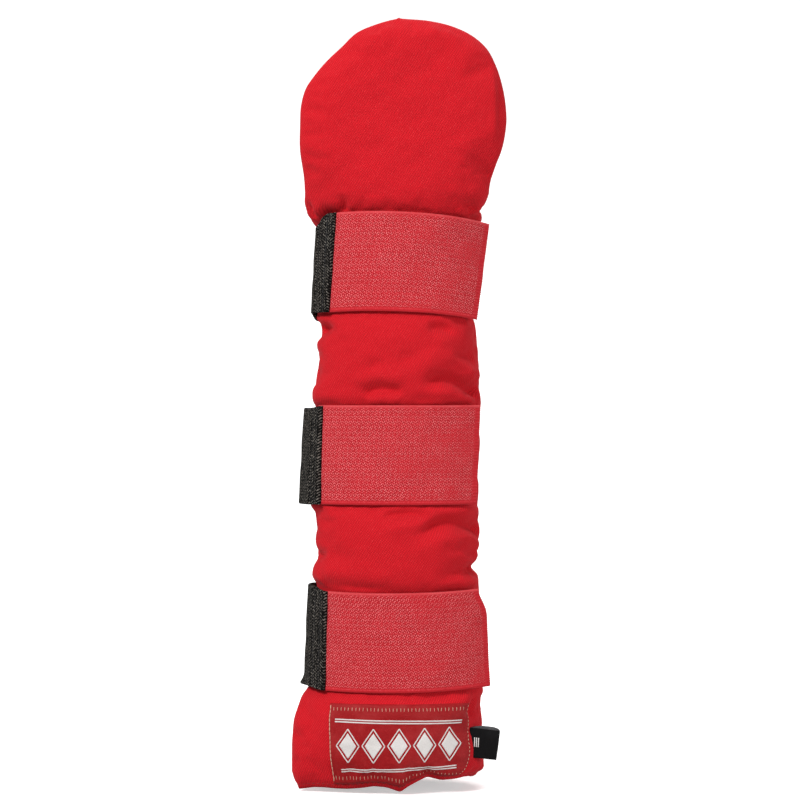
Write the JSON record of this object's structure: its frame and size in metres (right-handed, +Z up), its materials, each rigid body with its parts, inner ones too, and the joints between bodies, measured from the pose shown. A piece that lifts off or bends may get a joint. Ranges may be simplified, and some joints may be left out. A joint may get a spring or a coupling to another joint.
{
  "type": "padded tail guard",
  "caption": "Soft padded sleeve that wraps round a horse's tail or a limb, with a rounded padded flap above and elastic hook-and-loop straps across the front.",
  "frame": {"origin": "middle of the sleeve's oval channel, in the plane of the bottom hem", "axes": "+Z up the sleeve from the bottom hem to the flap; -Y the front, with the label and the strap ends; +X the folded side, with the slit at -X"},
  "size_m": [0.1036, 0.0635, 0.3853],
  "materials": {
    "cover_fabric": "matt twill weave",
    "foam_padding": "soft padding, unseen",
    "lining_fabric": "matt brushed fabric",
    "red_thread": "thread",
    "black_thread": "thread",
    "loop_pile": "soft looped pile",
    "hook_tape": "herringbone woven back",
    "black_elastic": "ribbed woven elastic",
    "label_satin": "woven satin",
    "label_thread": "thread",
    "tab_satin": "woven satin"
  },
  "bodies": {
    "front": {"front_cover": "cover_fabric", "front_padding": "foam_padding", "front_lining": "lining_fabric", "front_hem_stitches": "red_thread", "loop_patch_top": "loop_pile", "loop_patch_middle": "loop_pile", "loop_patch_bottom": "loop_pile", "loop_patch_stitches": "red_thread", "woven_label": "label_satin", "label_stitches": "label_thread"},
    "back": {"back_cover": "cover_fabric", "back_padding": "foam_padding", "back_lining": "lining_fabric", "back_hem_stitches": "red_thread", "elastic_band_top": "black_elastic", "elastic_band_middle": "black_elastic", "elastic_band_bottom": "black_elastic", "elastic_anchor_stitches": "black_thread"},
    "flap": {"flap_cover": "cover_fabric", "flap_padding": "foam_padding", "flap_lining": "cover_fabric"},
    "strap_top": {"hook_tape_top": "hook_tape", "elastic_hem_top": "black_elastic", "strap_stitches_top": "black_thread"},
    "strap_middle": {"hook_tape_middle": "hook_tape", "elastic_hem_middle": "black_elastic", "strap_stitches_middle": "black_thread"},
    "strap_bottom": {"hook_tape_bottom": "hook_tape", "elastic_hem_bottom": "black_elastic", "strap_stitches_bottom": "black_thread"},
    "size_tab": {"size_tab": "tab_satin"}
  },
  "joints": [
    {"name": "strap_top_peel", "type": "hinge", "parent": "front", "child": "strap_top", "pos_m": [-0.04281, -0.01012, 0.262], "axis": [0, 0, -1], "range_deg": [0, 150]},
    {"name": "strap_middle_peel", "type": "hinge", "parent": "front", "child": "strap_middle", "pos_m": [-0.04281, -0.01012, 0.166], "axis": [0, 0, -1], "range_deg": [0, 150]},
    {"name": "strap_bottom_peel", "type": "hinge", "parent": "front", "child": "strap_bottom", "pos_m": [-0.04281, -0.01012, 0.0725], "axis": [0, 0, -1], "range_deg": [0, 150]},
    {"name": "wrap_expand", "type": "hinge", "parent": "front", "child": "back", "pos_m": [0.042, 0, 0.145], "axis": [0, 0, -1], "range_deg": [0, 30], "stiffness_Nm_per_rad": 0.6, "deforming": ["elastic_band_top", "elastic_band_middle", "elastic_band_bottom"]},
    {"name": "flap_fold", "type": "hinge", "parent": "front", "child": "flap", "pos_m": [0, -0.0255, 0.2948], "axis": [1, 0, 0], "range_deg": [-90, 75], "stiffness_Nm_per_rad": 0.06},
    {"name": "size_tab_flex", "type": "hinge", "parent": "front", "child": "size_tab", "pos_m": [0.0363, -0.0199, 0.021], "axis": [0, 0, 1], "range_deg": [-120, 18], "stiffness_Nm_per_rad": 0.0005}
  ]
}
